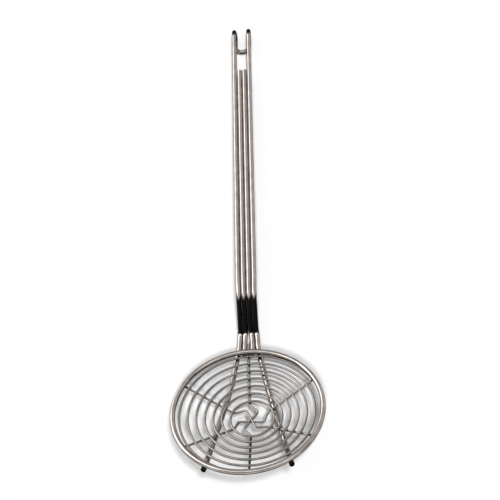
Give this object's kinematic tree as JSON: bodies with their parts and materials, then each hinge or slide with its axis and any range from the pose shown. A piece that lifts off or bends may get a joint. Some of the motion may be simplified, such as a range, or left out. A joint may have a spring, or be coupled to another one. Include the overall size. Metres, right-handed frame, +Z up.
{
  "type": "spider skimmer",
  "caption": "Round wire skimmer: a shallow dish of concentric rings welded under a heavy rim, on a long bundled wire handle with a folded hanging hook.",
  "frame": {"origin": "bottom centre of the bounding box, on the table it lies on", "axes": "+Y along the handle toward the hanging hook, +Z up, dish open upward"},
  "size_m": [0.15, 0.5838, 0.0534],
  "materials": {
    "bright_wire": "bright nickel-plated steel wire, slightly scuffed, with a black finish round the four handle wires at the neck"
  },
  "bodies": {
    "root": {"rim": "bright_wire", "frame_wire": "bright_wire", "handle_wire_left": "bright_wire", "handle_wire_right": "bright_wire", "cross_wire_long": "bright_wire", "cross_wire_left": "bright_wire", "cross_wire_right": "bright_wire", "ring_1": "bright_wire", "ring_2": "bright_wire", "ring_3": "bright_wire", "ring_4": "bright_wire", "ring_5": "bright_wire", "ring_6": "bright_wire", "ring_7": "bright_wire"}
  },
  "joints": []
}
